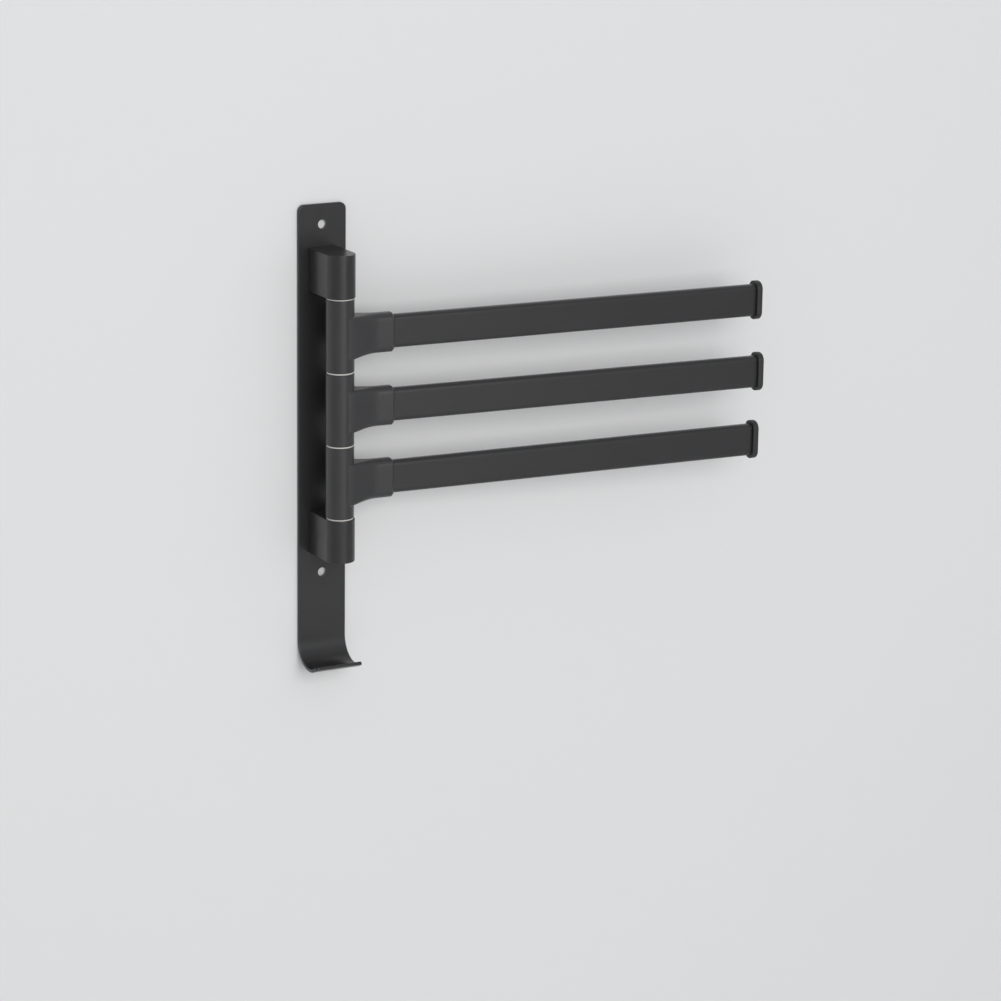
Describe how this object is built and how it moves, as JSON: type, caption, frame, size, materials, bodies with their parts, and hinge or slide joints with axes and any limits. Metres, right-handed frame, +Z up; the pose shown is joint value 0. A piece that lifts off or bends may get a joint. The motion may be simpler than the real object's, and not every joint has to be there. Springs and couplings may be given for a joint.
{
  "type": "swivel towel rack",
  "caption": "Wall-mounted satin black towel rack: flat arms that swing on an upright pivot between two lugs, on a strip plate whose lower end is bent into a hook.",
  "frame": {"origin": "on the wall face, midway between the two wall screw holes", "axes": "+Z up along the plate, +Y into the wall, -Y out into the room, +X the way the arms point at rest"},
  "size_m": [0.2958, 0.0515, 0.2812],
  "materials": {
    "plate_black": "satin black powder coat",
    "casting_black": "satin black powder coat",
    "tube_black": "satin black powder coat",
    "cap_black": "moulded satin black",
    "nylon_white": "natural nylon",
    "steel": "turned steel"
  },
  "bodies": {
    "wall_bracket": {"back_plate": "plate_black", "upper_lug": "casting_black", "lower_lug": "casting_black", "upper_lug_screws": "steel", "lower_lug_screws": "steel", "pivot_rod": "steel", "rod_retaining_screw": "steel", "top_washer": "nylon_white", "upper_middle_washer": "nylon_white", "middle_lower_washer": "nylon_white", "bottom_washer": "nylon_white"},
    "upper_arm": {"upper_arm_hub": "casting_black", "upper_arm_tube": "tube_black", "upper_arm_cap": "cap_black", "upper_arm_grub_screw": "steel"},
    "middle_arm": {"middle_arm_hub": "casting_black", "middle_arm_tube": "tube_black", "middle_arm_cap": "cap_black", "middle_arm_grub_screw": "steel"},
    "lower_arm": {"lower_arm_hub": "casting_black", "lower_arm_tube": "tube_black", "lower_arm_cap": "cap_black", "lower_arm_grub_screw": "steel"}
  },
  "joints": [
    {"name": "upper_arm_swing", "type": "hinge", "parent": "wall_bracket", "child": "upper_arm", "pos_m": [0, -0.026, 0], "axis": [0, 0, -1], "range_deg": [-3.2, 176.8]},
    {"name": "middle_arm_swing", "type": "hinge", "parent": "wall_bracket", "child": "middle_arm", "pos_m": [0, -0.026, 0], "axis": [0, 0, -1], "range_deg": [-4.1, 175.9]},
    {"name": "lower_arm_swing", "type": "hinge", "parent": "wall_bracket", "child": "lower_arm", "pos_m": [0, -0.026, 0], "axis": [0, 0, -1], "range_deg": [-3.3, 176.7]}
  ]
}
